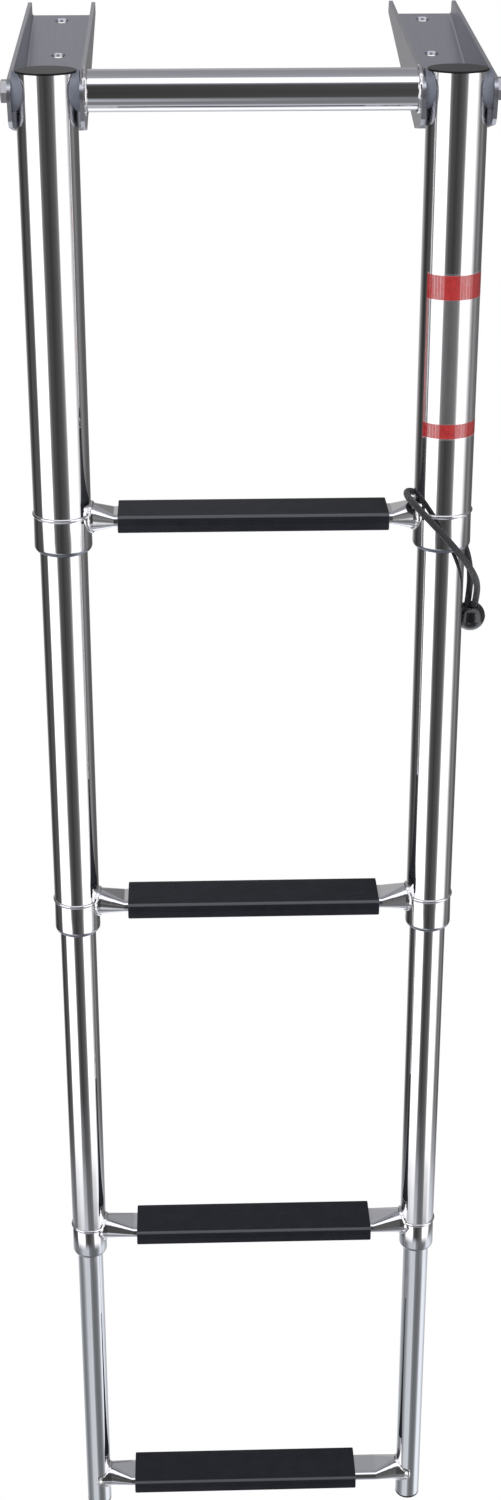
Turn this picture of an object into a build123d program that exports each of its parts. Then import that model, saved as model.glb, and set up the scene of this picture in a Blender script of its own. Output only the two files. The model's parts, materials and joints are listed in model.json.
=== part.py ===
"""Boat boarding ladder: two channels that bolt on a platform, with four telescoping steps hinged on them.

Millimetres. +Z is up, +X is across the ladder and -Y points away from the boat. The origin is the centre of
the four bolt holes, on the underside of the channels. The rails hang from the hinge and lean outwards.
"""

import os
from math import cos, pi, radians, sin, tan

from build123d import *

# Channels
rail_spacing = 252.0
channel_width = 46.6
sheet = 2.5
channel_end = 44.0
hole_pitch = 66.0
hole_radius = 4.0
hole_bevel = 0.7
bend_radius = 4.0
inner_bend_radius = 1.4
stop_width = 30.0

# Hinge
pivot_y = -182.0
pivot_height = 33.5
ear_front = 16.0
ear_top = 11.4
ear_radius = 10.0
flange_end_height = 9.6
bolt_radius = 4.0
bolt_hole_radius = 4.2
bolt_head_flats = 13.0
bolt_head_height = 4.6
spacer_radius = 12.3
spacer_reach = 6.2
spacer_play = 0.15
sleeve_radius = 6.5
sleeve_bore = 4.08
sleeve_length = 38.4
top_bar_radius = 12.7
top_bar_wall = 1.5
end_plug_length = 15.0

# Rails, from the widest tube to the narrowest; heights are along the rail, from the hinge
rake = 13.3
tube_radii = [19.05, 15.875, 12.7, 9.525]
tube_wall = 1.2
tube_top = 11.3
ring_heights = [-269.8, -558.0, -841.2]
foot_height = -1113.7
collar_height = 26.0
collar_stand = 0.22
collar_lip = 2.5
collar_lip_gap = 0.45
collar_round = 3.0
collar_shoulder = 0.7
tube_end_round = 0.6
bush_length = 20.3
guide_length = 9.0
slide_gap = 0.1
dome_height = 1.2
plug_depth = 4.0
foot_rim = 1.5
foot_spigot = 9.0

# Steps
step_heights = [-273.1, -561.3, -844.5, -1090.2]
step_shifts = [0.0, 0.0, 0.0, -7.0]
bar_size = 19.05
bar_corner = 9.4
flat_depth = 25.0
flat_height = 8.4
flat_corner = 4.1
bar_wall = 1.2
flat_half_length = 92.0
bead_stand = 0.95
bead_reach = 1.6
tread_length = 178.5
tread_depth = 35.6
tread_height = 12.0
tread_corner = 2.0
rib_pitch = 1.9
rib_groove = 0.7
rib_depth = 0.45
front_ribs = 3
top_ribs = 7

# Label film on the right rail
label_top = -110.0
label_height = 108.0
label_film = 0.15
label_from = -57.0
label_to = 88.0

# Retaining cord and its ball
cord_radius = 2.25
ball_radius = 10.2
ball_centre = (149.4, 14.0, -351.7)

pivot_z = sheet + pivot_height
half_spacing = rail_spacing / 2
half_width = channel_width / 2
inner_half = half_width - sheet
web_front = pivot_y + 26.0
stop_front = pivot_y + 11.8
rail_up = (0, sin(radians(rake)), cos(radians(rake)))
rail_back = (0, cos(radians(rake)), -sin(radians(rake)))
rail = Plane(origin=(0, pivot_y, pivot_z), x_dir=(1, 0, 0), z_dir=rail_up)
rail_axis = Axis((0, pivot_y, pivot_z), rail_up)
both_rails = [(-half_spacing, 0), (half_spacing, 0)]

# The cord leaves the ball, crosses the front of the right collar, goes over the end of the first step's bar
# and comes down behind the rail to the ball again. X, Y and Z are across the ladder, behind the rail's axis
# and along the rail.
cord_route = [
    (151.7, 12.0, -344.0),
    (152.6, 8.5, -334.5),
    (151.4, -0.5, -323.0),
    (146.8, -10.5, -311.5),
    (139.5, -18.6, -299.5),
    (130.0, -23.3, -287.0),
    (119.8, -23.0, -275.5),
    (110.5, -18.5, -266.5),
    (104.3, -11.0, -261.3),
    (101.8, -2.0, -259.8),
    (102.8, 7.6, -260.0),
    (107.6, 16.2, -263.0),
    (116.4, 22.6, -269.0),
    (127.2, 25.0, -277.8),
    (138.0, 22.8, -289.5),
    (145.6, 18.4, -304.5),
    (148.7, 15.2, -320.0),
    (148.3, 13.9, -333.5),
    (147.0, 13.5, -344.0),
]


def across(x, height):
    """The plane square to the ladder's width at x, centred on the rails' axis at this height along them."""
    return Plane(origin=rail.from_local_coords((x, 0, height)), x_dir=rail_back, z_dir=(1, 0, 0))


def write(shape, name):
    shape.label = name
    export_step(shape, f"parts/{name}.step")


os.makedirs("parts", exist_ok=True)


# --- channels ---------------------------------------------------------------------------------------------
def make_channel(side):
    """A U of sheet, web down. Its flanges run on as the hinge's ears; a tongue of the web stops the rail."""
    centre = side * half_spacing
    with BuildPart() as channel:
        with BuildSketch(Plane.YZ.offset(centre)) as outline:
            with BuildLine():
                Polyline(
                    (channel_end, 0),
                    (web_front, 0),
                    (pivot_y - 12.5, pivot_z - 18),
                    (pivot_y - ear_front, pivot_z - 13),
                    (pivot_y - ear_front, pivot_z + ear_top),
                    (channel_end, sheet + flange_end_height),
                    close=True,
                )
            make_face()
            front_top = outline.vertices().group_by(Axis.X)[0].sort_by(Axis.Y)[-1]
            fillet(front_top, ear_radius)
            back_top = outline.vertices().group_by(Axis.X)[-1].sort_by(Axis.Y)[-1]
            fillet(back_top, 3)
        extrude(amount=half_width, both=True)
        fillet(channel.edges().filter_by(Axis.Y).group_by(Axis.Z)[0], bend_radius)
        with BuildSketch(Plane.XY.offset(sheet)):
            with Locations((centre, 0)):
                Rectangle(2 * inner_half, 600)
        extrude(amount=100, mode=Mode.SUBTRACT)
        long_edges = channel.edges().filter_by(Axis.Y)
        fillet([edge for edge in long_edges if abs(edge.center().Z - sheet) < 0.01], inner_bend_radius)
        with BuildSketch(Plane.XY.offset(-1)):
            with Locations((centre, web_front - 50)):
                Rectangle(2 * inner_half, 100)
        extrude(amount=100, mode=Mode.SUBTRACT)
        with BuildSketch(Plane.XY):
            with Locations((centre, (web_front + 5 + stop_front) / 2)):
                Rectangle(stop_width, web_front + 5 - stop_front)
        extrude(amount=sheet)
        with Locations(Plane.XY.offset(sheet)):
            with Locations((centre, -hole_pitch / 2), (centre, hole_pitch / 2)):
                CounterSinkHole(hole_radius, hole_radius + hole_bevel, depth=sheet + 1)
        with BuildSketch(across(centre, 0)):
            Circle(bolt_hole_radius)
        extrude(amount=half_width + 5, both=True, mode=Mode.SUBTRACT)
    return channel.part


write(make_channel(-1), "left_channel")
write(make_channel(1), "right_channel")


# --- hinge ------------------------------------------------------------------------------------------------
bar_end = half_spacing - half_width

with BuildPart() as top_crossbar:
    with BuildSketch(across(0, 0)):
        Circle(top_bar_radius)
        Circle(top_bar_radius - top_bar_wall, mode=Mode.SUBTRACT)
    extrude(amount=bar_end, both=True)
write(top_crossbar.part, "top_crossbar")

with BuildPart() as crossbar_end_plugs:
    for side in (-1, 1):
        with BuildSketch(across(side * bar_end, 0)):
            Circle(top_bar_radius - top_bar_wall)
            Circle(bolt_radius, mode=Mode.SUBTRACT)
        extrude(amount=-side * end_plug_length)
write(crossbar_end_plugs.part, "crossbar_end_plugs")

with BuildPart() as top_crossbar_welds:
    for side in (-1, 1):
        with BuildSketch(across(side * bar_end, 0)):
            Circle(top_bar_radius + 1.6)
        with BuildSketch(across(side * (bar_end - 2.2), 0)):
            Circle(top_bar_radius + 0.3)
        loft()
    with BuildSketch(across(0, 0)):
        Circle(top_bar_radius)
    extrude(amount=bar_end + 1, both=True, mode=Mode.SUBTRACT)
write(top_crossbar_welds.part, "top_crossbar_welds")

with BuildPart() as hinge_bolts:
    for side in (-1, 1):
        ear_face = side * (half_spacing + half_width)
        with BuildSketch(across(ear_face, 0)):
            RegularPolygon(bolt_head_flats / 2, 6, major_radius=False)
        extrude(amount=side * bolt_head_height)
        with BuildSketch(across(ear_face, 0)):
            Circle(bolt_radius)
        extrude(amount=-side * (channel_width + end_plug_length))
    head_faces = [hinge_bolts.faces().sort_by(Axis.X)[0], hinge_bolts.faces().sort_by(Axis.X)[-1]]
    fillet([edge for face in head_faces for edge in face.edges()], 0.9)
write(hinge_bolts.part, "hinge_bolts")

with BuildPart() as hinge_spacers:
    for side in (-1, 1):
        for face in (-1, 1):
            ear_side = side * half_spacing + face * (inner_half - spacer_play)
            with BuildSketch(across(ear_side, 0)):
                Circle(spacer_radius)
                Circle(sleeve_radius + spacer_play, mode=Mode.SUBTRACT)
            extrude(amount=-face * spacer_reach)
    with BuildSketch(rail.offset(-2 * spacer_radius)):
        with Locations(both_rails):
            Circle(tube_radii[0])
    extrude(amount=4 * spacer_radius, mode=Mode.SUBTRACT)
write(hinge_spacers.part, "hinge_spacers")

with BuildPart() as pivot_sleeves:
    for side in (-1, 1):
        with BuildSketch(across(side * half_spacing, 0)):
            Circle(sleeve_radius)
            Circle(sleeve_bore, mode=Mode.SUBTRACT)
        extrude(amount=sleeve_length / 2, both=True)
write(pivot_sleeves.part, "pivot_sleeves")


# --- rails ------------------------------------------------------------------------------------------------
def make_tube(side, radius, bottom, top, drilled=False):
    with BuildPart() as tube:
        with BuildSketch(rail.offset(bottom)):
            with Locations((side * half_spacing, 0)):
                Circle(radius)
        extrude(amount=top - bottom)
        fillet(tube.edges().group_by(rail_axis)[0], tube_end_round)
        with BuildSketch(rail.offset(bottom)):
            with Locations((side * half_spacing, 0)):
                Circle(radius - tube_wall)
        extrude(amount=top - bottom, mode=Mode.SUBTRACT)
        if drilled:
            with BuildSketch(across(side * half_spacing, 0)):
                Circle(sleeve_radius)
            extrude(amount=radius + 5, both=True, mode=Mode.SUBTRACT)
    return tube.part


def make_rings(outer, inner, bottom, top):
    """A pair of plain rings, one on each rail."""
    with BuildPart() as rings:
        with BuildSketch(rail.offset(bottom)):
            with Locations(both_rails):
                Circle(outer)
                Circle(inner, mode=Mode.SUBTRACT)
        extrude(amount=top - bottom)
    return rings.part


def make_collars(radius, inner_tube, ring):
    """A pair of collars that carry the upper tubes on, with a lip turned in under the bush."""
    with BuildPart() as collars:
        with BuildSketch(rail.offset(ring - collar_height)):
            with Locations(both_rails):
                Circle(radius + collar_stand)
        extrude(amount=collar_height)
        fillet(collars.edges().group_by(rail_axis)[0], collar_round)
        fillet(collars.edges().group_by(rail_axis)[-1], collar_shoulder)
        with BuildSketch(rail.offset(ring)):
            with Locations(both_rails):
                Circle(radius - tube_wall)
        extrude(amount=collar_lip - collar_height, mode=Mode.SUBTRACT)
        with BuildSketch(rail.offset(ring)):
            with Locations(both_rails):
                Circle(inner_tube + collar_lip_gap)
        extrude(amount=-collar_height - 1, mode=Mode.SUBTRACT)
    return collars.part


with BuildPart() as rail_top_plugs:
    for x, y in both_rails:
        with BuildSketch(rail.offset(tube_top)):
            with Locations((x, y)):
                Circle(tube_radii[0])
        extrude(amount=dome_height)
    fillet(rail_top_plugs.edges().group_by(rail_axis)[-1], dome_height - 0.6)
    with BuildSketch(rail.offset(tube_top)):
        with Locations(both_rails):
            Circle(tube_radii[0] - tube_wall)
    extrude(amount=-plug_depth)
write(rail_top_plugs.part, "rail_top_plugs")

for level in range(4):
    section = level + 1
    outer = tube_radii[level]
    if level == 0:
        top = tube_top
    else:
        bush_top = ring_heights[level - 1] - collar_height + collar_lip + bush_length
        top = bush_top + guide_length
        guide_radius = tube_radii[level - 1] - tube_wall - slide_gap
        write(make_rings(guide_radius, outer, bush_top, top), f"section_{section}_guides")
    bottom = ring_heights[level] if level < 3 else foot_height
    for side, hand in ((-1, "left"), (1, "right")):
        name = f"{hand}_upper_tube" if level == 0 else f"section_{section}_{hand}_tube"
        write(make_tube(side, outer, bottom, top, drilled=level == 0), name)
    if level < 3:
        inner_tube = tube_radii[level + 1]
        bush_bottom = bottom - collar_height + collar_lip
        bush_top = bush_bottom + bush_length
        bushes = make_rings(outer - tube_wall, inner_tube + slide_gap, bush_bottom, bush_top)
        write(make_collars(outer, inner_tube, bottom), f"section_{section}_collars")
        write(bushes, f"section_{section}_bushes")

with BuildPart() as foot_plugs:
    with BuildSketch(rail.offset(foot_height)):
        with Locations(both_rails):
            Circle(tube_radii[3])
    extrude(amount=-foot_rim)
    fillet(foot_plugs.edges().group_by(rail_axis)[0], 0.7)
    with BuildSketch(rail.offset(foot_height)):
        with Locations(both_rails):
            Circle(tube_radii[3] - tube_wall)
    extrude(amount=foot_spigot)
write(foot_plugs.part, "foot_plugs")


# --- steps ------------------------------------------------------------------------------------------------
def make_step_bar(height, rail_radius, shift):
    """A round tube pressed flat under the tread, and coped to the rails at its ends."""
    flat_half = flat_half_length + abs(shift)
    round_from = half_spacing - rail_radius - 1.0
    with BuildPart() as bar:
        for wall, mode in ((0, Mode.ADD), (bar_wall, Mode.SUBTRACT)):
            flat = (flat_depth - 2 * wall, flat_height - 2 * wall, flat_corner - wall)
            full = (bar_size - 2 * wall, bar_size - 2 * wall, bar_corner - wall)
            with BuildSketch(across(0, height)):
                RectangleRounded(*flat)
            extrude(amount=flat_half, both=True, mode=mode)
            for side in (-1, 1):
                with BuildSketch(across(side * flat_half, height)):
                    RectangleRounded(*flat)
                with BuildSketch(across(side * round_from, height)):
                    RectangleRounded(*full)
                loft(mode=mode)
                with BuildSketch(across(side * round_from, height)):
                    RectangleRounded(*full)
                extrude(amount=side * (half_spacing - round_from), mode=mode)
        with BuildSketch(rail.offset(height - bar_size)):
            with Locations(both_rails):
                Circle(rail_radius)
        extrude(amount=2 * bar_size, mode=Mode.SUBTRACT)
    return bar.part


def make_beads(height, rail_radius):
    """The weld beads that run round both ends of a step's bar, on the rails."""
    with BuildPart() as beads:
        with BuildSketch(across(0, height)):
            Circle(bar_size / 2 + bead_stand)
        extrude(amount=half_spacing, both=True)
        with BuildSketch(rail.offset(height - bar_size)):
            with Locations(both_rails):
                Circle(rail_radius + bead_reach)
        extrude(amount=2 * bar_size, mode=Mode.INTERSECT)
        with BuildSketch(rail.offset(height - bar_size)):
            with Locations(both_rails):
                Circle(rail_radius)
        extrude(amount=2 * bar_size, mode=Mode.SUBTRACT)
        with BuildSketch(across(0, height)):
            RectangleRounded(bar_size, bar_size, bar_corner)
        extrude(amount=half_spacing, both=True, mode=Mode.SUBTRACT)
    return beads.part


def make_tread(height, shift):
    """A ribbed sleeve that is pushed on the flat of the bar."""
    front = -tread_depth / 2
    upper = tread_height / 2
    with BuildPart() as tread:
        with BuildSketch(across(shift, height)):
            RectangleRounded(tread_depth, tread_height, tread_corner)
            for rib in range(front_ribs):
                with Locations((front, upper - 2.9 - rib * rib_pitch)):
                    Rectangle(2 * rib_depth, rib_groove, mode=Mode.SUBTRACT)
            for rib in range(top_ribs):
                with Locations((front + 5.2 + rib * 4.2, upper)):
                    Rectangle(rib_groove, rib_depth, mode=Mode.SUBTRACT)
            RectangleRounded(flat_depth, flat_height, flat_corner, mode=Mode.SUBTRACT)
        extrude(amount=tread_length / 2, both=True)
    return tread.part


for level in range(4):
    step = level + 1
    rail_radius = tube_radii[level] + (collar_stand if level < 3 else 0)
    write(make_step_bar(step_heights[level], rail_radius, step_shifts[level]), f"step_{step}_crossbar")
    write(make_beads(step_heights[level], rail_radius), f"step_{step}_welds")
    write(make_tread(step_heights[level], step_shifts[level]), f"step_{step}_tread")


# --- label film -------------------------------------------------------------------------------------------
with BuildPart() as rail_label:
    with BuildSketch(rail.offset(label_top - label_height)):
        with BuildLine():
            inside = CenterArc((half_spacing, 0), tube_radii[0], label_from - 90, label_to - label_from)
            outside = CenterArc(
                (half_spacing, 0), tube_radii[0] + label_film, label_from - 90, label_to - label_from
            )
            Line(inside @ 0, outside @ 0)
            Line(inside @ 1, outside @ 1)
        make_face()
    extrude(amount=label_height)
write(rail_label.part, "rail_label")


# --- retaining cord ---------------------------------------------------------------------------------------
cord_points = [rail.from_local_coords(Vector(*point)) for point in cord_route]


def corner_radii(points):
    """Each arc takes 0.45 of its shorter run, so that the arcs are as large as the runs allow."""
    radii = []
    for before, corner, after in zip(points, points[1:], points[2:]):
        turn = (corner - before).get_angle(after - corner)
        run = min((corner - before).length, (after - corner).length)
        radii.append(0.45 * run / tan(radians(turn / 2)))
    return radii


cord_radii = corner_radii(cord_points)
print("cord radii", [round(radius, 1) for radius in cord_radii])

with BuildPart() as retaining_cord:
    with BuildLine() as cord_path:
        FilletPolyline(*cord_points, radius=cord_radii)
    with BuildSketch(Plane(origin=cord_path.line @ 0, z_dir=cord_path.line % 0)):
        Circle(cord_radius)
    sweep()
cord_length = sum(edge.length for edge in cord_path.edges())
cord_volume = pi * cord_radius**2 * cord_length
print("cord length", round(cord_length, 1), "volume share", retaining_cord.part.volume / cord_volume)
write(retaining_cord.part, "retaining_cord")

rail_down = (-rail.z_dir.X, -rail.z_dir.Y, -rail.z_dir.Z)
ball_place = Plane(origin=rail.from_local_coords(Vector(*ball_centre)), x_dir=rail_down, z_dir=(1, 0, 0))
with BuildPart() as cord_ball:
    with Locations(ball_place):
        Sphere(ball_radius)
    add(retaining_cord.part, mode=Mode.SUBTRACT)
write(cord_ball.part, "cord_ball")
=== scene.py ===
"""The looks of a telescoping boat boarding ladder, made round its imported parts.

Metres, in the ladder's own frame: +Z is up, +X across the ladder and -Y away from the boat. The rails lean,
so most places are given in the rails' own directions: across them, behind their axis, and up along them from
the hinge.
"""

import json
from math import atan2, cos, degrees, pi, radians, sin, sqrt

import bmesh
import bpy
from bpy.props import FloatProperty, FloatVectorProperty, PointerProperty
from mathutils import Matrix, Quaternion, Vector


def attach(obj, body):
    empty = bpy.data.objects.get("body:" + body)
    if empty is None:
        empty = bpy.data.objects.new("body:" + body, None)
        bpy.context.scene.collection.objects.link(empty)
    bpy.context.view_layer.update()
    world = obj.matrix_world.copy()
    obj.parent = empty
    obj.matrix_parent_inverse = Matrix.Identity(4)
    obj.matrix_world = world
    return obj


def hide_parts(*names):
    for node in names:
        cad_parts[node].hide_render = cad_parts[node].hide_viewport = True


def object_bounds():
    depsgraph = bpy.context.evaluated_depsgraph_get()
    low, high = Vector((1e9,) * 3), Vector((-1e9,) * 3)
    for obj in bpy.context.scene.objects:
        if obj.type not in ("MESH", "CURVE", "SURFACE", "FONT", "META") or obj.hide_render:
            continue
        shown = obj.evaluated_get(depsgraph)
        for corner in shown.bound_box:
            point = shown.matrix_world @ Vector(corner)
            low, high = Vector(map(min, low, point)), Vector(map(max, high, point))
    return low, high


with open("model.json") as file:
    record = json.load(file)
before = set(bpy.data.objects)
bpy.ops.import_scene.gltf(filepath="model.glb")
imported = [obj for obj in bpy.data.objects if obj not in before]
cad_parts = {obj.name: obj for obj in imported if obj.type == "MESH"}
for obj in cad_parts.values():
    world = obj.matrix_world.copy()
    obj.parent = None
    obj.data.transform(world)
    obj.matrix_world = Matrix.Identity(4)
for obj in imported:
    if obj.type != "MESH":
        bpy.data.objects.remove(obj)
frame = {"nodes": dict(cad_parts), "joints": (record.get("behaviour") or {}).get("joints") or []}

bl_info = {
    "name": "Boat Boarding Ladder",
    "version": (1, 0, 0),
    "blender": (4, 5, 0),
    "location": "3D View > Sidebar > Ladder",
    "description": "Makes a boarding ladder's cord, welds, treads, finishes and studio",
    "category": "Object",
}

cad_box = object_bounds()
joints = {joint["name"]: joint for joint in frame["joints"]}
hinge = Vector(joints["fold"]["pos_m"])
across = Vector((1, 0, 0))
rail_up = Vector(joints["section_2_slide"]["axis"]).normalized()
rail_back = rail_up.cross(across)
rake = atan2(rail_up.y, rail_up.z)
rail_frame = Matrix.Translation(hinge) @ Matrix((across, rail_back, rail_up)).transposed().to_4x4()


# --- sizes and colours ------------------------------------------------------------------------------------
class StageSettings(bpy.types.PropertyGroup):
    camera_place: FloatVectorProperty(
        name="Camera Place", description="Where the camera stands", default=(-0.0443, -1.5031, 0.5503),
        unit="LENGTH",
    )
    camera_aim: FloatVectorProperty(
        name="Camera Aim", description="The point it looks at", default=(-0.0002, -0.2400, -0.4309),
        unit="LENGTH",
    )
    camera_roll: FloatProperty(
        name="Camera Roll", description="How far it is turned about its line of sight",
        default=radians(0.433), subtype="ANGLE",
    )
    lens: FloatProperty(name="Lens", description="Focal length", default=53.28, unit="CAMERA")
    floor_size: FloatProperty(
        name="Floor Size", description="Side of the square floor", default=16.0, unit="LENGTH"
    )
    light_power: FloatProperty(
        name="Light Power", description="Power of the larger soft light", default=26.0, unit="POWER"
    )


class CordSettings(bpy.types.PropertyGroup):
    diameter: FloatProperty(
        name="Diameter", description="Thickness of the elastic cord", default=0.0045, unit="LENGTH"
    )
    length: FloatProperty(
        name="Length", description="Length of the cord from end to end", default=0.2414, unit="LENGTH"
    )
    ball_radius: FloatProperty(
        name="Ball Radius", description="Radius of the ball on its ends", default=0.0102, unit="LENGTH"
    )


class FinishSettings(bpy.types.PropertyGroup):
    steel: FloatVectorProperty(
        name="Polished Steel", description="Colour of the mirror-polished tube", default=(0.86, 0.86, 0.875),
        subtype="COLOR",
    )
    satin: FloatVectorProperty(
        name="Satin Steel", description="Colour of the channels' sheet", default=(0.56, 0.57, 0.61),
        subtype="COLOR",
    )
    plastic: FloatVectorProperty(
        name="Black Plastic", description="Colour of the plugs and the ball", default=(0.006, 0.006, 0.008),
        subtype="COLOR",
    )
    tread: FloatVectorProperty(
        name="Tread", description="Colour of the treads", default=(0.0115, 0.0125, 0.0165), subtype="COLOR"
    )
    band: FloatVectorProperty(
        name="Label Band", description="Colour of the label's bands", default=(0.42, 0.018, 0.018),
        subtype="COLOR",
    )


# --- nodes ------------------------------------------------------------------------------------------------
def add_node(tree, kind, inputs=None, **settings):
    """Adds a node. An input that is given a socket is linked to it, and any other input is set."""
    made = tree.nodes.new(kind)
    for name, value in settings.items():
        setattr(made, name, value)
    for name, value in (inputs or {}).items():
        if isinstance(value, bpy.types.NodeSocket):
            tree.links.new(value, made.inputs[name])
        else:
            made.inputs[name].default_value = value
    return made


def sums(tree, operation, first, second=0.0, third=0.0, clamp=False):
    """One step of arithmetic on sockets or numbers."""
    inputs = {0: first, 1: second, 2: third}
    return add_node(tree, "ShaderNodeMath", inputs, operation=operation, use_clamp=clamp).outputs[0]


def ease(tree, value, low, high, to_low=0.0, to_high=1.0):
    """Takes a value from to_low to to_high, smoothly, as it goes from low to high."""
    inputs = {"Value": value, "From Min": low, "From Max": high, "To Min": to_low, "To Max": to_high}
    return add_node(tree, "ShaderNodeMapRange", inputs, interpolation_type="SMOOTHSTEP").outputs[0]


def blend_colours(tree, factor, first, second, blend_type="MIX"):
    inputs = {"Factor": factor, 6: first, 7: second}
    return add_node(tree, "ShaderNodeMix", inputs, data_type="RGBA", blend_type=blend_type).outputs[2]


def as_light(level):
    """The amount of light that a grey seen as this bright, from 0 to 1, stands for."""
    return ((level + 0.055) / 1.055) ** 2.4


def angle_ramp(tree, angle, stops, tint=(1.0, 1.0, 1.0)):
    """Brightness round a full turn, from stops of (degrees, seen brightness)."""
    turn = sums(tree, "MULTIPLY_ADD", angle, 1 / (2 * pi), 0.5)
    ramp = add_node(tree, "ShaderNodeValToRGB", {"Fac": turn})
    elements = ramp.color_ramp.elements
    elements[0].position, elements[-1].position = 0.0, 1.0
    for place, level in stops[1:-1]:
        elements.new(place / 360 + 0.5)
    for element, (place, level) in zip(elements, stops):
        light = as_light(level)
        element.color = (light * tint[0], light * tint[1], light * tint[2], 1)
    return ramp.outputs["Color"]


# --- stage ------------------------------------------------------------------------------------------------
# What each mirror band reflects, as (degrees, seen brightness): round the rails for the upper and the lower
# tubes, and from front to back over the crossbars.
ring_bands = [
    (-180, 0.72), (-158, 0.66), (-140, 0.34), (-125, 0.20), (-108, 0.32), (-90, 0.34), (-84, 0.56),
    (-80, 1.18), (-33, 1.18), (-28, 0.56), (-18, 0.32), (-4, 0.24), (8, 0.30), (22, 0.38),
    (33, 0.56), (37, 1.18), (74, 1.18), (79, 0.92), (86, 0.62), (96, 0.42), (112, 0.54),
    (124, 0.38), (142, 0.36), (164, 0.42), (180, 0.72),
]
low_bands = [
    (-180, 0.88), (-150, 0.80), (-120, 0.63), (-100, 0.50), (-80, 0.52), (-64, 0.66), (-50, 0.84),
    (-30, 0.84), (-12, 0.86), (2, 0.54), (20, 0.44), (45, 0.48), (58, 0.62), (68, 0.98),
    (96, 1.02), (115, 0.88), (140, 0.76), (165, 0.78), (180, 0.88),
]
arch_bands = [
    (-180, 1.10), (-108, 1.10), (-102, 0.82), (-80, 0.76), (-74, 0.52), (-48, 0.46), (-40, 0.22),
    (-30, 0.24), (-26, 1.15), (-12, 1.15), (-7, 0.26), (34, 0.32), (42, 0.56), (47, 1.15),
    (72, 1.15), (79, 0.66), (100, 0.60), (130, 0.58), (152, 0.70), (180, 0.92),
]


def studio_light():
    """A white room for the camera, and for reflections a studio of tall bright and dark bands."""
    world = bpy.data.worlds.new("studio")
    bpy.context.scene.world = world
    world.use_nodes = True
    tree = world.node_tree
    tree.nodes.clear()
    seen = add_node(tree, "ShaderNodeTexCoord").outputs["Generated"]
    along_rails = add_node(
        tree, "ShaderNodeVectorRotate", {"Vector": seen, "Angle": rake}, rotation_type="X_AXIS"
    ).outputs[0]
    swirl = add_node(
        tree, "ShaderNodeTexNoise", {"Vector": along_rails, "Scale": 2.6, "Detail": 2.0}
    ).outputs["Fac"]
    parts = add_node(tree, "ShaderNodeSeparateXYZ", {0: along_rails})
    side, back, up = parts.outputs
    front = sums(tree, "MULTIPLY", back, -1.0)
    around = sums(tree, "ARCTAN2", side, front)
    around = sums(tree, "ADD", around, sums(tree, "MULTIPLY_ADD", swirl, 0.36, -0.18))
    over = sums(tree, "ARCTAN2", up, front)
    height = sums(tree, "ARCSINE", up)
    ring = angle_ramp(tree, around, ring_bands, (1.0, 0.985, 0.995))
    low = angle_ramp(tree, around, low_bands, (0.93, 0.97, 1.03))
    arch = angle_ramp(tree, over, arch_bands, (0.97, 0.98, 1.05))
    room = blend_colours(tree, ease(tree, height, radians(-33), radians(-38)), ring, low)
    above = ease(tree, height, radians(22), radians(38))
    below = ease(tree, height, radians(-48), radians(-60))
    room = blend_colours(tree, sums(tree, "ADD", above, below), room, arch)
    light_path = add_node(tree, "ShaderNodeLightPath")
    soft = (0.62, 0.63, 0.66, 1)
    room = blend_colours(tree, light_path.outputs["Is Diffuse Ray"], room, soft)
    room = blend_colours(tree, light_path.outputs["Is Camera Ray"], room, (1, 1, 1, 1))
    background = add_node(tree, "ShaderNodeBackground", {"Color": room})
    add_node(tree, "ShaderNodeOutputWorld", {"Surface": background.outputs[0]})
    world.cycles.sampling_method = "NONE"


def add_soft_light(name, place, aim, width, height, power):
    light = bpy.data.lights.new(name, "AREA")
    light.shape = "RECTANGLE"
    light.size, light.size_y, light.energy = width, height, power
    lamp = bpy.data.objects.new(name, light)
    lamp.location = place
    lamp.rotation_mode = "QUATERNION"
    lamp.rotation_quaternion = (Vector(aim) - Vector(place)).to_track_quat("-Z", "Y")
    lamp.visible_glossy = False
    bpy.context.scene.collection.objects.link(lamp)


def add_floor(settings):
    """A plain pale floor just under the ladder's feet, which only the camera sees, and only from above."""
    level = cad_box[0].z - 0.002
    bm = bmesh.new()
    bmesh.ops.create_grid(bm, x_segments=1, y_segments=1, size=settings.floor_size / 2)
    bmesh.ops.translate(bm, vec=(0, 0, level), verts=bm.verts)
    mesh = bpy.data.meshes.new("floor")
    bm.to_mesh(mesh)
    bm.free()
    material = bpy.data.materials.new("white_floor")
    material.use_nodes = True
    tree = material.node_tree
    tree.nodes.clear()
    glow = add_node(tree, "ShaderNodeEmission", {"Color": (1, 1, 1, 1), "Strength": 1.0}).outputs[0]
    clear = add_node(tree, "ShaderNodeBsdfTransparent").outputs[0]
    underside = add_node(tree, "ShaderNodeNewGeometry").outputs["Backfacing"]
    surface = add_node(tree, "ShaderNodeMixShader", {0: underside, 1: glow, 2: clear}).outputs[0]
    add_node(tree, "ShaderNodeOutputMaterial", {"Surface": surface})
    mesh.materials.append(material)
    floor = bpy.data.objects.new("floor", mesh)
    floor.visible_diffuse = floor.visible_glossy = floor.visible_shadow = False
    bpy.context.scene.collection.objects.link(floor)


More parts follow.
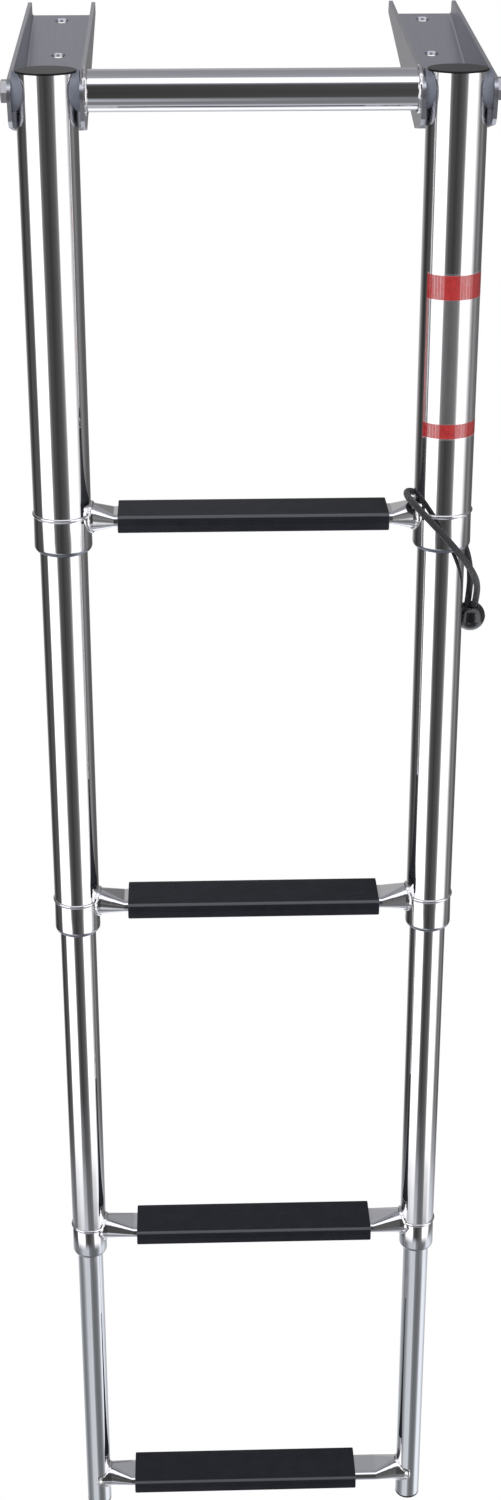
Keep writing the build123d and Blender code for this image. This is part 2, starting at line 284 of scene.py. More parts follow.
class LADDER_OT_stage(bpy.types.Operator):
    """Makes the camera, the floor and the studio light"""

    bl_idname = "ladder.stage"
    bl_label = "Stage"

    def execute(self, context):
        settings = context.scene.ladder_stage
        data = bpy.data.cameras.new("camera")
        data.lens = settings.lens
        data.sensor_width = 36.0
        data.clip_start, data.clip_end = 0.05, 60.0
        camera = bpy.data.objects.new("camera", data)
        camera.location = settings.camera_place
        camera.rotation_mode = "QUATERNION"
        sight = Vector(settings.camera_aim) - Vector(settings.camera_place)
        roll = Quaternion((0, 0, 1), settings.camera_roll)
        camera.rotation_quaternion = sight.to_track_quat("-Z", "Y") @ roll
        context.scene.collection.objects.link(camera)
        context.scene.camera = camera
        context.scene.view_settings.view_transform = "Standard"
        studio_light()
        add_floor(settings)
        middle = (cad_box[0] + cad_box[1]) / 2
        add_soft_light("key_light", (-0.9, -1.6, 1.1), middle, 1.0, 1.0, settings.light_power)
        add_soft_light("fill_light", (1.3, -1.2, 0.3), middle, 0.8, 1.4, settings.light_power * 0.4)
        return {"FINISHED"}


# --- finishes ---------------------------------------------------------------------------------------------
def new_group(name, inputs, outputs):
    """A node group with float or vector inputs, from {name: default}, and float outputs."""
    group = bpy.data.node_groups.new(name, "ShaderNodeTree")
    for label, default in inputs.items():
        kind = "NodeSocketVector" if default is None else "NodeSocketFloat"
        socket = group.interface.new_socket(name=label, in_out="INPUT", socket_type=kind)
        if default is not None:
            socket.default_value = default
    for label in outputs:
        group.interface.new_socket(name=label, in_out="OUTPUT", socket_type="NodeSocketFloat")
    entry = add_node(group, "NodeGroupInput")
    return group, entry.outputs


def close_group(group, results):
    add_node(group, "NodeGroupOutput", results)
    return group


def make_polish_lines():
    """Fine lines that run along a piece's Z, left by the polishing wheel."""
    inputs = {"Vector": None, "Fineness": 900.0, "Stretch": 0.02}
    group, given = new_group("polish_lines", inputs, ["Lines", "Waves"])
    flat = add_node(group, "ShaderNodeSeparateXYZ", {0: given["Vector"]})
    slow = sums(group, "MULTIPLY", flat.outputs[2], given["Stretch"])
    drawn = add_node(
        group, "ShaderNodeCombineXYZ", {0: flat.outputs[0], 1: flat.outputs[1], 2: slow}
    ).outputs[0]
    lines = add_node(
        group, "ShaderNodeTexNoise",
        {"Vector": drawn, "Scale": given["Fineness"], "Detail": 3.0, "Roughness": 0.6},
    ).outputs["Fac"]
    broad = add_node(
        group, "ShaderNodeTexNoise", {"Vector": given["Vector"], "Scale": 26.0, "Detail": 1.5}
    ).outputs["Fac"]
    return close_group(group, {"Lines": lines, "Waves": broad})


def make_wiping_marks():
    """Soft smears and a few small spots, as a wiped surface has."""
    inputs = {"Vector": None, "Scale": 30.0, "Coverage": 0.5}
    group, given = new_group("wiping_marks", inputs, ["Marks", "Spots"])
    smear = add_node(
        group, "ShaderNodeTexNoise",
        {
            "Vector": given["Vector"], "Scale": given["Scale"], "Detail": 4.0, "Roughness": 0.62,
            "Distortion": 1.4,
        },
    ).outputs["Fac"]
    edge = sums(group, "SUBTRACT", 1.0, given["Coverage"])
    marks = ease(group, smear, edge, sums(group, "ADD", edge, 0.22))
    finer = sums(group, "MULTIPLY", given["Scale"], 9.0)
    cells = add_node(
        group, "ShaderNodeTexVoronoi", {"Vector": given["Vector"], "Scale": finer}
    ).outputs["Distance"]
    spots = sums(group, "MULTIPLY", ease(group, cells, 0.16, 0.07), marks)
    return close_group(group, {"Marks": marks, "Spots": spots})


def make_moulded_grain():
    """The fine, even grain of a moulded plastic, with a slow mottle under it."""
    inputs = {"Vector": None, "Grain": 2600.0, "Mottle": 90.0}
    group, given = new_group("moulded_grain", inputs, ["Height", "Shade"])
    grain = add_node(
        group, "ShaderNodeTexNoise", {"Vector": given["Vector"], "Scale": given["Grain"], "Detail": 2.0}
    ).outputs["Fac"]
    mottle = add_node(
        group, "ShaderNodeTexNoise", {"Vector": given["Vector"], "Scale": given["Mottle"], "Detail": 3.0}
    ).outputs["Fac"]
    return close_group(group, {"Height": grain, "Shade": mottle})


def new_material(name, constants):
    """A material with a Principled surface; constants are the shader inputs that are the same all over."""
    material = bpy.data.materials.new(name)
    material.use_nodes = True
    tree = material.node_tree
    shader = tree.nodes["Principled BSDF"]
    for label, value in constants.items():
        shader.inputs[label].default_value = value
    return material, tree, shader


def place_group(tree, name, inputs):
    made = add_node(tree, "ShaderNodeGroup", node_tree=bpy.data.node_groups[name])
    for label, value in inputs.items():
        if isinstance(value, bpy.types.NodeSocket):
            tree.links.new(value, made.inputs[label])
        else:
            made.inputs[label].default_value = value
    return made.outputs


def own_coordinates(tree, turn=(0, 0, 0)):
    """Object coordinates, turned so that Z runs along the piece."""
    place = add_node(tree, "ShaderNodeTexCoord").outputs["Object"]
    return add_node(tree, "ShaderNodeMapping", {"Vector": place, "Rotation": turn}).outputs[0]


def bump(tree, height, distance, strength=1.0, normal=None):
    inputs = {"Height": height, "Distance": distance, "Strength": strength}
    if normal:
        inputs["Normal"] = normal
    return add_node(tree, "ShaderNodeBump", inputs).outputs[0]


def make_polished(name, colour, turn, roughness, line_depth, wave_depth):
    """Mirror-polished stainless: drawn lines, a slow ripple, and wiping marks that dull it a little."""
    material, tree, shader = new_material(name, {"Metallic": 1.0, "IOR": 2.5})
    place = own_coordinates(tree, turn)
    lines = place_group(tree, "polish_lines", {"Vector": place})
    marks = place_group(tree, "wiping_marks", {"Vector": place, "Scale": 22.0, "Coverage": 0.44})
    low = (colour[0], colour[1], colour[2], 1)
    dull = tuple(channel * 0.9 for channel in colour) + (1,)
    shade = blend_colours(tree, sums(tree, "MULTIPLY", marks["Marks"], 0.7), low, dull)
    tree.links.new(shade, shader.inputs["Base Color"])
    rough = sums(tree, "MULTIPLY_ADD", lines["Lines"], 0.03, roughness)
    rough = sums(tree, "MULTIPLY_ADD", marks["Marks"], 0.03, rough)
    rough = sums(tree, "MULTIPLY_ADD", marks["Spots"], 0.08, rough)
    tree.links.new(rough, shader.inputs["Roughness"])
    fine = bump(tree, lines["Lines"], line_depth)
    tree.links.new(bump(tree, lines["Waves"], wave_depth, 1.0, fine), shader.inputs["Normal"])
    return material


def make_satin(name, colour, turn, roughness):
    """Sheet with a brushed grain along its length, scuffed paler in places."""
    material, tree, shader = new_material(name, {"Metallic": 1.0})
    place = own_coordinates(tree, turn)
    lines = place_group(tree, "polish_lines", {"Vector": place, "Fineness": 1400.0, "Stretch": 0.03})
    marks = place_group(tree, "wiping_marks", {"Vector": place, "Scale": 34.0, "Coverage": 0.4})
    low = tuple(channel * 0.86 for channel in colour) + (1,)
    high = tuple(min(1, channel * 1.12) for channel in colour) + (1,)
    shade = blend_colours(tree, lines["Lines"], low, high)
    shade = blend_colours(tree, sums(tree, "MULTIPLY", marks["Marks"], 0.25), shade, (0.72, 0.72, 0.74, 1))
    tree.links.new(shade, shader.inputs["Base Color"])
    rough = sums(tree, "MULTIPLY_ADD", lines["Lines"], 0.12, roughness)
    rough = sums(tree, "MULTIPLY_ADD", marks["Marks"], 0.06, rough)
    tree.links.new(rough, shader.inputs["Roughness"])
    tree.links.new(bump(tree, lines["Lines"], 0.00003), shader.inputs["Normal"])
    return material


def make_weld(name, colour):
    """Bright weld metal, a little rough, with tints of heat beside the bead."""
    material, tree, shader = new_material(name, {"Metallic": 1.0})
    place = own_coordinates(tree)
    grain = place_group(tree, "moulded_grain", {"Vector": place, "Grain": 900.0, "Mottle": 260.0})
    straw = (colour[0] * 0.95, colour[1] * 0.86, colour[2] * 0.72, 1)
    shade = blend_colours(tree, ease(tree, grain["Shade"], 0.45, 0.75, 0, 0.5), tuple(colour) + (1,), straw)
    tree.links.new(shade, shader.inputs["Base Color"])
    tree.links.new(ease(tree, grain["Shade"], 0.3, 0.7, 0.12, 0.3), shader.inputs["Roughness"])
    tree.links.new(bump(tree, grain["Height"], 0.00012), shader.inputs["Normal"])
    return material


def make_plastic(name, colour, roughness, grain_depth, coat=0.0, paler=2.2, shine=0.5):
    """Moulded plastic: fine grain, a slow mottle, and scuffs that turn it paler and duller."""
    constants = {"Metallic": 0.0, "Specular IOR Level": shine, "Coat Roughness": 0.08, "Coat Weight": coat}
    material, tree, shader = new_material(name, constants)
    place = own_coordinates(tree)
    grain = place_group(tree, "moulded_grain", {"Vector": place})
    marks = place_group(tree, "wiping_marks", {"Vector": place, "Scale": 60.0, "Coverage": 0.42})
    base = tuple(colour) + (1,)
    worn = tuple(min(1.0, channel * paler) for channel in colour) + (1,)
    shade = blend_colours(tree, ease(tree, grain["Shade"], 0.3, 0.75, 0, 0.35), base, worn)
    shade = blend_colours(tree, sums(tree, "MULTIPLY", marks["Marks"], 0.35), shade, worn)
    tree.links.new(shade, shader.inputs["Base Color"])
    rough = sums(tree, "MULTIPLY_ADD", marks["Marks"], 0.10, roughness)
    rough = sums(tree, "MULTIPLY_ADD", grain["Height"], 0.08, rough)
    tree.links.new(rough, shader.inputs["Roughness"])
    tree.links.new(bump(tree, grain["Height"], grain_depth), shader.inputs["Normal"])
    return material


def make_sheath(name, colour):
    """The cord's woven sheath: two sets of yarns that cross at a slant, with painted shade that makes the
    hollows between them darker and their crests paler.
    """
    material, tree, shader = new_material(name, {"Sheen Weight": 0.25, "Sheen Roughness": 0.4})
    place = add_node(tree, "ShaderNodeTexCoord").outputs["UV"]
    parts = add_node(tree, "ShaderNodeSeparateXYZ", {0: place})
    along = sums(tree, "MULTIPLY", parts.outputs[0], 330.0)
    turns = sums(tree, "MULTIPLY", parts.outputs[1], 8.0)
    waves = []
    for lean in (1, -1):
        phase = sums(tree, "MULTIPLY_ADD", along, lean, turns)
        waves.append(sums(tree, "SINE", sums(tree, "MULTIPLY", phase, 2 * pi)))
    yarn = sums(tree, "MAXIMUM", waves[0], waves[1])
    height = ease(tree, yarn, -0.6, 1.0)
    # Painted shade: the hollows between the yarns are darker and the crests paler.
    dark = tuple(channel * 0.45 for channel in colour) + (1,)
    pale = tuple(channel * 1.9 for channel in colour) + (1,)
    tree.links.new(blend_colours(tree, height, dark, pale), shader.inputs["Base Color"])
    tree.links.new(ease(tree, yarn, -0.6, 1.0, 0.7, 0.42), shader.inputs["Roughness"])
    tree.links.new(bump(tree, height, 0.00018), shader.inputs["Normal"])
    return material


def make_label_film(name, band_colour):
    """Clear film with a plain red band near its top, another at its foot, and a thin red edge."""
    constants = {"Roughness": 0.12, "Coat Weight": 0.6, "Coat Roughness": 0.06}
    material, tree, shader = new_material(name, constants)
    top, foot = label_span()
    place = add_node(tree, "ShaderNodeTexCoord").outputs["Object"]
    centre = rail_frame @ Vector((rail_spacing / 2, 0, 0))
    moved = add_node(tree, "ShaderNodeVectorMath", {0: place, 1: centre}, operation="SUBTRACT").outputs[0]
    local = add_node(
        tree, "ShaderNodeVectorRotate", {"Vector": moved, "Angle": rake}, rotation_type="X_AXIS"
    ).outputs[0]
    parts = add_node(tree, "ShaderNodeSeparateXYZ", {0: local})
    side, back, up = parts.outputs
    edge, top_band, foot_band, band_blur = 0.001, 0.0158, 0.0098, 0.0003
    masks = []
    for low, high in ((top - edge - top_band, top - edge), (foot + edge, foot + edge + foot_band)):
        above = ease(tree, up, low, low + band_blur)
        masks.append(sums(tree, "MULTIPLY", above, ease(tree, up, high, high - band_blur)))
    around = sums(tree, "ARCTAN2", side, sums(tree, "MULTIPLY", back, -1.0))
    masks.append(sums(tree, "MULTIPLY", ease(tree, around, radians(-50), radians(-53)), 0.7))
    band = sums(tree, "MAXIMUM", sums(tree, "MAXIMUM", masks[0], masks[1]), masks[2])
    ink = place_group(tree, "moulded_grain", {"Vector": place, "Grain": 1800.0, "Mottle": 320.0})
    faded = tuple(min(1.0, channel * 1.5 + 0.04) for channel in band_colour) + (1,)
    red = blend_colours(tree, ink["Shade"], tuple(band_colour) + (1,), faded)
    tree.links.new(blend_colours(tree, band, (0.86, 0.84, 0.84, 1), red), shader.inputs["Base Color"])
    cover = sums(tree, "MULTIPLY_ADD", band, 0.30, 0.03)
    cover = sums(tree, "MULTIPLY_ADD", sums(tree, "MULTIPLY", ink["Shade"], band), 0.30, cover)
    tree.links.new(cover, shader.inputs["Alpha"])
    tree.links.new(bump(tree, ink["Height"], 0.00002), shader.inputs["Normal"])
    return material


# --- pieces -----------------------------------------------------------------------------------------------
rail_spacing = 0.252
tube_radii = (0.01905, 0.015875, 0.0127, 0.009525)
tube_wall = 0.0012
collar_stand = 0.00022
collar_height = 0.026
# How high the painted dark reflection on the collars' lips reaches above their foot, and over how much it
# fades.
lip_shade_top = 0.0046
lip_shade_fade = 0.0022
step_bar_radius = 0.0095
top_bar_radius = 0.0127
bead_size = 0.0015
ear_bead_size = 0.0017
top_rib_pitch = 0.0021
top_rib_depth = 0.00016
front_rib_pitch = 0.00125
front_rib_depth = 0.00035


def node_span(name):
    """How far a node reaches along the rails, as (highest, lowest)."""
    heights = [(rail_frame.inverted() @ vert.co).z for vert in frame["nodes"][name].data.vertices]
    return max(heights), min(heights)


def label_span():
    return node_span("rail_label")


def add_piece(bm, name, body, material, nodes, crease=32):
    """Makes a finished bmesh a piece that rides on a body, in place of the CAD nodes that it stands for."""
    bmesh.ops.recalc_face_normals(bm, faces=bm.faces)
    mesh = bpy.data.meshes.new(name)
    bm.to_mesh(mesh)
    bm.free()
    mesh.materials.append(material)
    mesh.shade_smooth()
    mesh.set_sharp_from_angle(angle=radians(crease))
    piece = bpy.data.objects.new(name, mesh)
    bpy.context.scene.collection.objects.link(piece)
    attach(piece, body)
    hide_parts(*nodes)
    return piece


# The route is given in the rails' directions: across, behind their axis, and up from the hinge.
cord_route = [
    (0.1517, 0.0120, -0.3440),
    (0.1526, 0.0085, -0.3345),
    (0.1514, -0.0005, -0.3230),
    (0.1468, -0.0105, -0.3115),
    (0.1395, -0.0186, -0.2995),
    (0.1300, -0.0233, -0.2870),
    (0.1198, -0.0230, -0.2755),
    (0.1105, -0.0185, -0.2665),
    (0.1043, -0.0110, -0.2613),
    (0.1018, -0.0020, -0.2598),
    (0.1028, 0.0076, -0.2600),
    (0.1076, 0.0162, -0.2630),
    (0.1164, 0.0226, -0.2690),
    (0.1272, 0.0250, -0.2778),
    (0.1380, 0.0228, -0.2895),
    (0.1456, 0.0184, -0.3045),
    (0.1487, 0.0152, -0.3200),
    (0.1483, 0.0139, -0.3335),
    (0.1470, 0.0135, -0.3440),
]
ball_centre = Vector((0.1494, 0.0140, -0.3517))


def make_ball(settings, material):
    """A moulded ball with a parting line round it and a rounded mouth where the cord goes in."""
    radius = settings.ball_radius
    mouth = 0.0051
    lip = 0.0007
    profile = [(0.0, -radius)]
    for step in range(1, 17):
        turn = radians(-90 + step * 5.5)
        profile.append((radius * cos(turn), radius * sin(turn)))
    profile += [(radius + 0.00012, -0.00022), (radius + 0.00012, 0.00022)]
    top = sqrt(radius**2 - (mouth + lip) ** 2)
    last = degrees(atan2(top, mouth + lip))
    for step in range(1, 15):
        turn = radians(2.0 + (last - 2.0) * step / 14)
        profile.append((radius * cos(turn), radius * sin(turn)))
    for step in range(1, 5):
        turn = radians(90 * step / 4)
        profile.append((mouth + lip * (1 - sin(turn)), top - lip * (1 - cos(turn))))
    profile += [(mouth, top - 0.003), (0.0, top - 0.003)]
    bm = bmesh.new()
    verts = [bm.verts.new((along, 0, up)) for along, up in profile]
    edges = [bm.edges.new(pair) for pair in zip(verts, verts[1:])]
    bmesh.ops.spin(
        bm, geom=verts + edges, cent=(0, 0, 0), axis=(0, 0, 1), angle=2 * pi, steps=72, use_merge=True,
        dvec=(0, 0, 0),
    )
    bmesh.ops.remove_doubles(bm, verts=bm.verts, dist=1e-6)
    neck = Vector((0.14945, 0.0126, -0.3415)) - ball_centre
    turn = neck.to_track_quat("Z", "Y").to_matrix().to_4x4()
    bmesh.ops.transform(bm, matrix=rail_frame @ Matrix.Translation(ball_centre) @ turn, verts=bm.verts)
    return add_piece(bm, "pull_ball", "section_1", material, ["cord_ball"])


class LADDER_OT_cord(bpy.types.Operator):
    """Makes the elastic cord and the ball on its ends"""

    bl_idname = "ladder.cord"
    bl_label = "Cord and Ball"

    def execute(self, context):
        settings = context.scene.ladder_cord
        finishes = context.scene.ladder_finish
        curve = bpy.data.curves.new("elastic_cord", "CURVE")
        curve.dimensions = "3D"
        curve.bevel_depth = settings.diameter / 2
        curve.bevel_resolution = 6
        curve.resolution_u = 8
        curve.use_fill_caps = True
        spline = curve.splines.new("NURBS")
        spline.points.add(len(cord_route) - 1)
        for point, place in zip(spline.points, cord_route):
            point.co = (rail_frame @ Vector(place)).to_4d()
        spline.order_u = 3
        spline.use_endpoint_u = True
        curve.materials.append(make_sheath("woven_sheath", (0.012, 0.012, 0.014)))
        cord = bpy.data.objects.new("elastic_cord", curve)
        context.scene.collection.objects.link(cord)
        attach(cord, "section_1")
        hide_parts("retaining_cord")
        ball = make_ball(settings, make_plastic("ball_plastic", finishes.plastic, 0.14, 0.000003, 0.7, 1.4))
        return {"FINISHED"}


def spin_profile(bm, profile, steps=96):
    """Turns a profile of (out from the axis, along it) into a closed ring about Z."""
    verts = [bm.verts.new((out, 0, along)) for out, along in profile]
    edges = [bm.edges.new(pair) for pair in zip(verts, verts[1:] + verts[:1])]
    bmesh.ops.spin(
        bm, geom=verts + edges, cent=(0, 0, 0), axis=(0, 0, 1), angle=2 * pi, steps=steps, use_merge=True,
        dvec=(0, 0, 0),
    )


def join_rows(bm, rows, closed):
    """Faces between rows of vertices that each go round in a loop; closed joins the last row to the first."""
    following = rows[1:] + rows[:1] if closed else rows[1:]
    for row, after in zip(rows, following):
        for index in range(len(row)):
            other = (index + 1) % len(row)
            bm.faces.new((row[index], row[other], after[other], after[index]))


def arc(centre, radius, start, end, steps):
    """Points of (out, along) on an arc, in degrees from straight out."""
    turns = [radians(start + (end - start) * step / steps) for step in range(steps + 1)]
    return [(centre[0] + radius * cos(turn), centre[1] + radius * sin(turn)) for turn in turns]


def make_collar_pair(section, ring, outer, inner, material):
    """Two collars, each with a rolled bead over the tube's end, a groove under it and a rounded foot."""
    stand = outer + collar_stand
    foot = ring - collar_height
    wall = outer - tube_wall
    profile = [(wall, ring), (outer + 0.00003, ring), (outer + 0.00003, ring + 0.0010)]
    profile += arc((stand - 0.0003, ring), 0.0010, 66, -52, 10)
    profile += arc((stand + 0.0002, ring - 0.0019), 0.0005, 140, 195, 4)
    profile += arc((stand - 0.0042, foot + 0.0042), 0.0042, 0, -78, 9)
    profile += [(inner + 0.0005, foot + 0.0001), (inner + 0.0005, foot + 0.0025), (wall, foot + 0.0025)]
    bm = bmesh.new()
    for side in (-1, 1):
        one = bmesh.new()
        spin_profile(one, profile)
        bmesh.ops.transform(
            one, matrix=rail_frame @ Matrix.Translation((side * rail_spacing / 2, 0, 0)), verts=one.verts
        )
        mesh = bpy.data.meshes.new("half")
        one.to_mesh(mesh)
        one.free()
        bm.from_mesh(mesh)
        bpy.data.meshes.remove(mesh)
    name = f"section_{section}_collars"
    piece = add_piece(bm, f"{name}_rolled", f"section_{section}", material, [name], 50)
    # The lip attribute masks the painted dark reflection: full near the collar's foot, fading to nothing
    # higher up.
    shade = piece.data.attributes.new("lip", "FLOAT", "POINT")
    to_rails = rail_frame.inverted()
    for vert, value in zip(piece.data.vertices, shade.data):
        below = foot + lip_shade_top - (to_rails @ vert.co).z
        value.value = min(1, max(0, below / lip_shade_fade))
    return piece


def ripple(turn, count, seed):
    """Uneven ripples along a weld bead, from -1 to 1, that close on themselves."""
    main = 0.6 * sin(count * turn + seed)
    slower = 0.25 * sin(2 * count * turn / 3 + 2 * seed)
    return main + slower + 0.15 * sin(5 * turn + seed)


def make_saddle_welds(step, height, rail, bar, body, material):
    """Rippled beads where a step's bar meets the rails: each follows the bar's end round the rail."""
    bm = bmesh.new()
    around_steps, section_steps = 132, 10
    for side in (-1, 1):
        rows = []
        for index in range(around_steps):
            turn = 2 * pi * index / around_steps
            swell = 1 + 0.14 * ripple(turn, 15, step + side)
            size = bead_size * swell
            out_y, out_z = cos(turn), sin(turn)
            row = []
            for part in range(section_steps):
                lean = 2 * pi * part / section_steps
                reach = bar + size * cos(lean) * 0.9
                place_y, place_z = reach * out_y, reach * out_z
                surface = sqrt(max(rail**2 - place_y**2, 0))
                along = surface + size * (0.15 + sin(lean))
                row.append(bm.verts.new((side * (rail_spacing / 2 - along), place_y, height + place_z)))
            rows.append(row)
        join_rows(bm, rows, closed=True)
    bmesh.ops.transform(bm, matrix=rail_frame, verts=bm.verts)
    return add_piece(bm, f"step_{step}_beads", body, material, [f"step_{step}_welds"], 60)


def make_ear_welds(bar_end, bar, material):
    """Lumpy beads round the top crossbar's ends, on the inner ears."""
    bm = bmesh.new()
    around_steps, section_steps = 120, 12
    for side in (-1, 1):
        rows = []
        for index in range(around_steps):
            turn = 2 * pi * index / around_steps
            size = ear_bead_size * (1 + 0.22 * ripple(turn, 12, side + 4))
            row = []
            for part in range(section_steps):
                lean = 2 * pi * part / section_steps
                reach = bar + size * (0.1 + cos(lean))
                along = bar_end - size * (0.25 + sin(lean)) * 0.95
                row.append(bm.verts.new((side * along, reach * cos(turn), reach * sin(turn))))
            rows.append(row)
        join_rows(bm, rows, closed=True)
    bmesh.ops.transform(bm, matrix=rail_frame, verts=bm.verts)
    return add_piece(bm, "ear_beads", "bracket", material, ["top_crossbar_welds"], 60)


def paint_lip_dark_reflection(material):
    """Paints a dark bluish reflection onto the turned-in lip, strongest at its foot, and dulls it a little.
    """
    tree = material.node_tree
    shader = tree.nodes["Principled BSDF"]
    lip = add_node(tree, "ShaderNodeAttribute", attribute_name="lip").outputs["Fac"]
    colour = shader.inputs["Base Color"].links[0].from_socket
    rough = shader.inputs["Roughness"].links[0].from_socket
    painted_reflection_amount = sums(tree, "MULTIPLY", lip, 0.86)
    tree.links.new(blend_colours(tree, painted_reflection_amount, colour, (0.13, 0.145, 0.19, 1)), shader.inputs["Base Color"])
    tree.links.new(sums(tree, "MULTIPLY_ADD", lip, 0.12, rough), shader.inputs["Roughness"])


def paint_edge_highlight_and_wear(material):
    """Paints the sleeves' front top edge pale: a painted highlight line, which also stands for wear from feet
    there.
    """
    tree = material.node_tree
    shader = tree.nodes["Principled BSDF"]
    worn = add_node(tree, "ShaderNodeAttribute", attribute_name="worn").outputs["Fac"]
    colour = shader.inputs["Base Color"].links[0].from_socket
    tree.links.new(blend_colours(tree, worn, colour, (0.075, 0.076, 0.085, 1)), shader.inputs["Base Color"])


def make_tread_sleeve(step, material):
    """A ribbed sleeve: fine ribs all along its top, and deeper ones down the upper half of its front."""
    name = f"step_{step}_tread"
    to_rails = rail_frame.inverted()
    places = [to_rails @ vert.co for vert in frame["nodes"][name].data.vertices]
    low_x, high_x = min(place.x for place in places), max(place.x for place in places)
    front, behind = min(place.y for place in places), max(place.y for place in places)
    foot, top = min(place.z for place in places), max(place.z for place in places)
    outline = [(front + 0.0016, top)]
    along = front + 0.0034
    while along < behind - 0.0030:
        bottom = top - top_rib_depth
        outline += [(along, top), (along + 0.0002, bottom), (along + 0.0005, bottom), (along + 0.0007, top)]
        along += top_rib_pitch
    corner = ((0.0018, 0), (0.0009, 0.0002), (0.0002, 0.0009), (0, 0.0018))
    outline += [(behind - out, top - down) for out, down in corner]
    outline += [(behind - out, foot + rise) for out, rise in reversed(corner)]
    outline += [(front + out, foot + rise) for out, rise in corner]
    for rib in range(4):
        high = top - 0.0022 - (3 - rib) * front_rib_pitch
        bottom = front + front_rib_depth
        outline += [(front, high - 0.0005), (bottom, high - 0.0003), (bottom, high - 0.0001), (front, high)]
    outline += [(front, top - 0.0014), (front + 0.0002, top - 0.0007), (front + 0.0007, top - 0.0002)]
    ends = [(low_x, 0.0007), (low_x + 0.0002, 0.0002), (low_x + 0.0007, 0.0)]
    ends += [(high_x - 0.0007, 0.0), (high_x - 0.0002, 0.0002), (high_x, 0.0007)]
    middle = ((front + behind) / 2, (foot + top) / 2)
    half = ((behind - front) / 2, (top - foot) / 2)
    bm = bmesh.new()
    rows = []
    for x, inset in ends:
        row = []
        for y, z in outline:
            y = middle[0] + (y - middle[0]) * (1 - inset / half[0])
            z = middle[1] + (z - middle[1]) * (1 - inset / half[1])
            row.append(bm.verts.new((x, y, z)))
        rows.append(row)
    join_rows(bm, rows, closed=False)
    bm.faces.new(rows[0])
    bm.faces.new(rows[-1])
    bmesh.ops.transform(bm, matrix=rail_frame, verts=bm.verts)
    piece = add_piece(bm, f"{name}_sleeve", f"section_{step}", material, [name], 24)
    # The worn attribute marks the front top edge for the painted highlight line, with some wear.
    worn = piece.data.attributes.new("worn", "FLOAT", "POINT")
    for vert, value in zip(piece.data.vertices, worn.data):
        place = to_rails @ vert.co
        value.value = 1.0 if place.z > top - 0.0018 and place.y < front + 0.0012 else 0.0
    return piece


class LADDER_OT_treads(bpy.types.Operator):
    """Makes the ribbed sleeves on the steps"""

    bl_idname = "ladder.treads"
    bl_label = "Treads"

    def execute(self, context):
        colours = context.scene.ladder_finish
        material = make_plastic("sleeve_plastic", colours.tread, 0.36, 0.00001, 0.0, 1.7, 0.16)
        # Paints a highlight line, with some wear, along the sleeves' front top edge.
        paint_edge_highlight_and_wear(material)
        for step in range(1, 5):
            make_tread_sleeve(step, material)
        return {"FINISHED"}


class LADDER_OT_collars(bpy.types.Operator):
    """Makes the rolled collars that carry the upper tubes of each section on"""

    bl_idname = "ladder.collars"
    bl_label = "Collars"

    def execute(self, context):
        colours = context.scene.ladder_finish
        steel = make_polished("collar_steel", colours.steel, (rake, 0, 0), 0.02, 0.000002, 0.00008)
        # Paints a dark reflection onto the collars' lips.
        paint_lip_dark_reflection(steel)
        for section, (outer, inner) in enumerate(zip(tube_radii, tube_radii[1:]), 1):
            ring = node_span(f"section_{section}_collars")[0]
            make_collar_pair(section, ring, outer, inner, steel)
        return {"FINISHED"}


class LADDER_OT_welds(bpy.types.Operator):
    """Makes the rippled weld beads of the steps and of the top crossbar"""

    bl_idname = "ladder.welds"
    bl_label = "Weld Beads"

    def execute(self, context):
        weld = make_weld("bead_metal", (0.8, 0.8, 0.82))
        for step, outer in enumerate(tube_radii, 1):
            top, foot = node_span(f"step_{step}_welds")
            collar = collar_stand if step < len(tube_radii) else 0
            body = f"section_{step}"
            make_saddle_welds(step, (top + foot) / 2, outer + collar, step_bar_radius, body, weld)
        bar_end = max(vert.co.x for vert in frame["nodes"]["top_crossbar"].data.vertices)
        make_ear_welds(bar_end, top_bar_radius, weld)
        return {"FINISHED"}


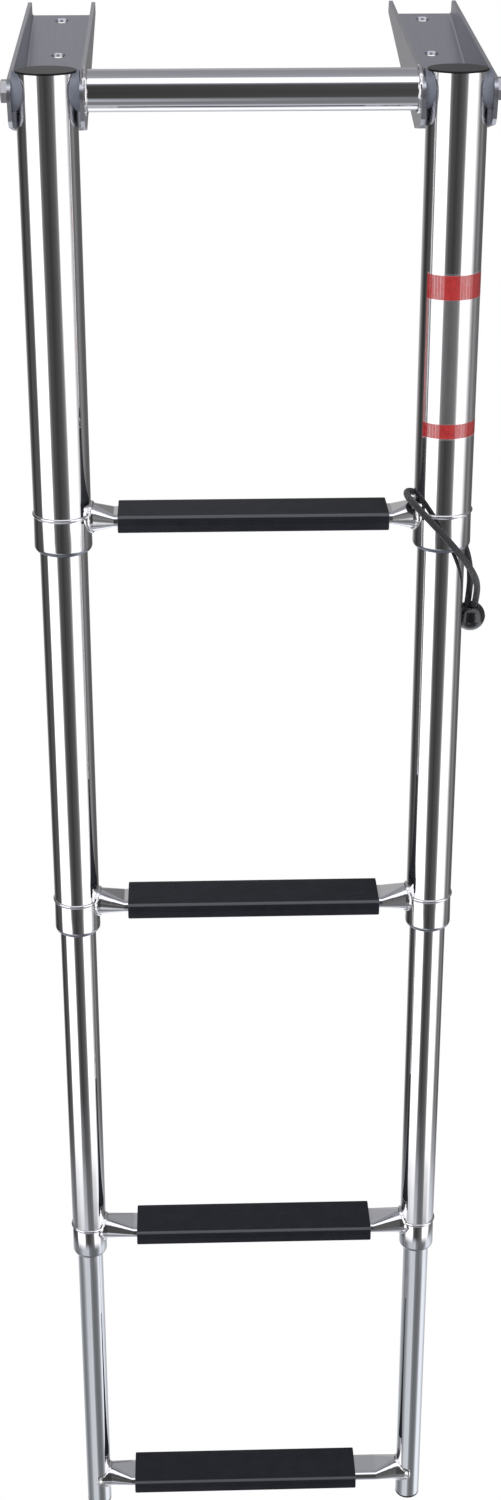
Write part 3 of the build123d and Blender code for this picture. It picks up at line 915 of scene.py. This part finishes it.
class LADDER_OT_finishes(bpy.types.Operator):
    """Gives each part of the ladder its finish"""

    bl_idname = "ladder.finishes"
    bl_label = "Finishes"

    def execute(self, context):
        colours = context.scene.ladder_finish
        along_rail = (rake, 0, 0)
        along_bar = (0, radians(-90), 0)
        along_channel = (radians(90), 0, 0)
        rail_steel = make_polished("rail_steel", colours.steel, along_rail, 0.012, 0.000002, 0.00008)
        bar_steel = make_polished("bar_steel", colours.steel, along_bar, 0.02, 0.000003, 0.00008)
        satin = make_satin("channel_satin", colours.satin, along_channel, 0.26)
        bolt = make_satin("bolt_satin", (0.5, 0.49, 0.5), along_bar, 0.28)
        dome = make_plastic("dome_plastic", colours.plastic, 0.3, 0.000006, shine=0.2)
        washer = make_plastic("washer_nylon", (0.13, 0.14, 0.17), 0.34, 0.000006, 0.0, 1.5)
        pale = make_plastic("natural_nylon", (0.74, 0.73, 0.69), 0.42, 0.000006, 0.0, 1.15)
        label = make_label_film("label_film", colours.band)
        finishes = {"satin_stainless": satin, "bolt_steel": bolt, "grey_nylon": washer}
        finishes |= {"white_nylon": pale, "black_plastic": dome, "label_film": label}
        for name, node in frame["nodes"].items():
            slot = node.data.materials[0].name
            if slot == "stainless":
                material = bar_steel if "crossbar" in name or name == "pivot_sleeves" else rail_steel
            elif slot in finishes:
                material = finishes[slot]
            else:
                continue
            node.material_slots[0].link = "DATA"
            node.material_slots[0].material = material
        return {"FINISHED"}


class LADDER_PT_panel(bpy.types.Panel):
    """Lists the ladder's steps and sizes"""

    bl_label = "Boarding Ladder"
    bl_idname = "LADDER_PT_panel"
    bl_space_type = "VIEW_3D"
    bl_region_type = "UI"
    bl_category = "Ladder"

    def draw(self, context):
        for operator in operators:
            self.layout.operator(operator.bl_idname)
        for group in (context.scene.ladder_stage, context.scene.ladder_cord, context.scene.ladder_finish):
            box = self.layout.box()
            for name in group.bl_rna.properties.keys()[2:]:
                box.prop(group, name)


setting_groups = {"ladder_stage": StageSettings, "ladder_cord": CordSettings, "ladder_finish": FinishSettings}
operators = [
    LADDER_OT_stage, LADDER_OT_cord, LADDER_OT_collars, LADDER_OT_welds, LADDER_OT_treads, LADDER_OT_finishes,
]
classes = [*setting_groups.values(), *operators, LADDER_PT_panel]


def register():
    for kind in classes:
        bpy.utils.register_class(kind)
    for name, group in setting_groups.items():
        setattr(bpy.types.Scene, name, PointerProperty(type=group))


def unregister():
    for name in setting_groups:
        delattr(bpy.types.Scene, name)
    for kind in reversed(classes):
        bpy.utils.unregister_class(kind)


def main():
    register()
    for make_group in (make_polish_lines, make_wiping_marks, make_moulded_grain):
        make_group()
    bpy.ops.ladder.stage()
    bpy.ops.ladder.cord()
    bpy.ops.ladder.collars()
    bpy.ops.ladder.welds()
    bpy.ops.ladder.treads()
    bpy.ops.ladder.finishes()
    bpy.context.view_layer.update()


if __name__ == "__main__":
    main()
